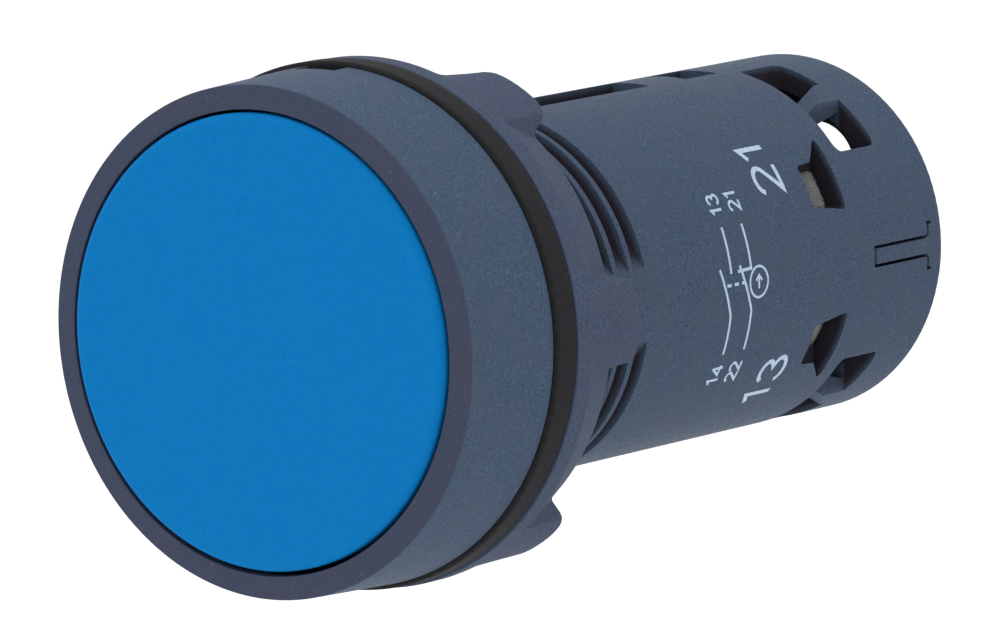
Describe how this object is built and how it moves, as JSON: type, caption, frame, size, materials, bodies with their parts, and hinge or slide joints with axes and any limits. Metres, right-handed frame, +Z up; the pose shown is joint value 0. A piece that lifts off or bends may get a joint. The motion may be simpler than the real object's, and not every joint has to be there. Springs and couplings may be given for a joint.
{
  "type": "panel push button",
  "caption": "Flush round push button with a threaded barrel, fixing nut, sealing gasket, changeover contacts and screw terminals at the rear.",
  "frame": {"origin": "on the button's axis at the panel plane, where the gasket meets the fixing nut", "axes": "+Y runs back along the axis towards the terminals, so the button faces -Y; +Z is up through the key groove on the barrel; +X is to the right seen from the front"},
  "size_m": [0.031, 0.0545, 0.031],
  "materials": {
    "cap_blue": "smooth satin blue moulding",
    "bezel_slate": "fine grained slate grey moulding",
    "nut_slate": "fine grained slate grey moulding",
    "barrel_slate": "fine grained slate grey moulding",
    "inner_black": "plain dark moulding",
    "seal_rubber": "dull black rubber",
    "spring_steel": "drawn wire",
    "contact_brass": "rolled strip",
    "clamp_steel": "zinc plated"
  },
  "bodies": {
    "housing": {"barrel": "barrel_slate", "bezel": "bezel_slate", "panel_gasket": "seal_rubber", "stem_seal": "seal_rubber", "contact_block": "inner_black", "rear_cover": "barrel_slate", "return_spring": "spring_steel", "nc_spring": "spring_steel", "terminal_21": "contact_brass", "terminal_22": "contact_brass", "terminal_13": "contact_brass", "terminal_14": "contact_brass"},
    "push": {"push_cap": "cap_blue", "plunger": "inner_black", "contact_carrier": "inner_black", "no_spring": "spring_steel"},
    "nc_contact": {"nc_bridge": "contact_brass"},
    "no_contact": {"no_bridge": "contact_brass"},
    "nut": {"fixing_nut": "nut_slate"},
    "clamp_21": {"clamp_21": "clamp_steel"},
    "screw_21": {"screw_21": "clamp_steel"},
    "clamp_22": {"clamp_22": "clamp_steel"},
    "screw_22": {"screw_22": "clamp_steel"},
    "clamp_13": {"clamp_13": "clamp_steel"},
    "screw_13": {"screw_13": "clamp_steel"},
    "clamp_14": {"clamp_14": "clamp_steel"},
    "screw_14": {"screw_14": "clamp_steel"}
  },
  "joints": [
    {"name": "push", "type": "slide", "parent": "housing", "child": "push", "axis": [0, 1, 0], "range_m": [0, 0.0043], "stiffness_N_per_m": 500, "springref_m": -0.005, "deforming": ["return_spring", "no_spring"]},
    {"name": "nc_open", "type": "slide", "parent": "housing", "child": "nc_contact", "axis": [0, 1, 0], "range_m": [0, 0.0028], "deforming": ["nc_spring"]},
    {"name": "no_close", "type": "slide", "parent": "housing", "child": "no_contact", "axis": [0, 1, 0], "range_m": [0, 0.0026]},
    {"name": "nut_travel", "type": "slide", "parent": "housing", "child": "nut", "axis": [0, 1, 0], "range_m": [0, 0.006]},
    {"name": "turn_screw_21", "type": "hinge", "parent": "housing", "child": "screw_21", "pos_m": [0.0033, 0.036, 0.0045], "axis": [0, 1, 0], "range_deg": [0, 1290]},
    {"name": "lift_clamp_21", "type": "slide", "parent": "housing", "child": "clamp_21", "axis": [0, 1, 0], "range_m": [0, 0.0018]},
    {"name": "turn_screw_22", "type": "hinge", "parent": "housing", "child": "screw_22", "pos_m": [-0.0033, 0.036, 0.0045], "axis": [0, 1, 0], "range_deg": [0, 1290]},
    {"name": "lift_clamp_22", "type": "slide", "parent": "housing", "child": "clamp_22", "axis": [0, 1, 0], "range_m": [0, 0.0018]},
    {"name": "turn_screw_13", "type": "hinge", "parent": "housing", "child": "screw_13", "pos_m": [0.0033, 0.036, -0.0045], "axis": [0, 1, 0], "range_deg": [0, 1290]},
    {"name": "lift_clamp_13", "type": "slide", "parent": "housing", "child": "clamp_13", "axis": [0, 1, 0], "range_m": [0, 0.0018]},
    {"name": "turn_screw_14", "type": "hinge", "parent": "housing", "child": "screw_14", "pos_m": [-0.0033, 0.036, -0.0045], "axis": [0, 1, 0], "range_deg": [0, 1290]},
    {"name": "lift_clamp_14", "type": "slide", "parent": "housing", "child": "clamp_14", "axis": [0, 1, 0], "range_m": [0, 0.0018]}
  ],
  "couplings": [
    {"joint": "nc_open", "follows": "push", "ratio": 0.651},
    {"joint": "no_close", "follows": "push", "ratio": 0.6046}
  ]
}
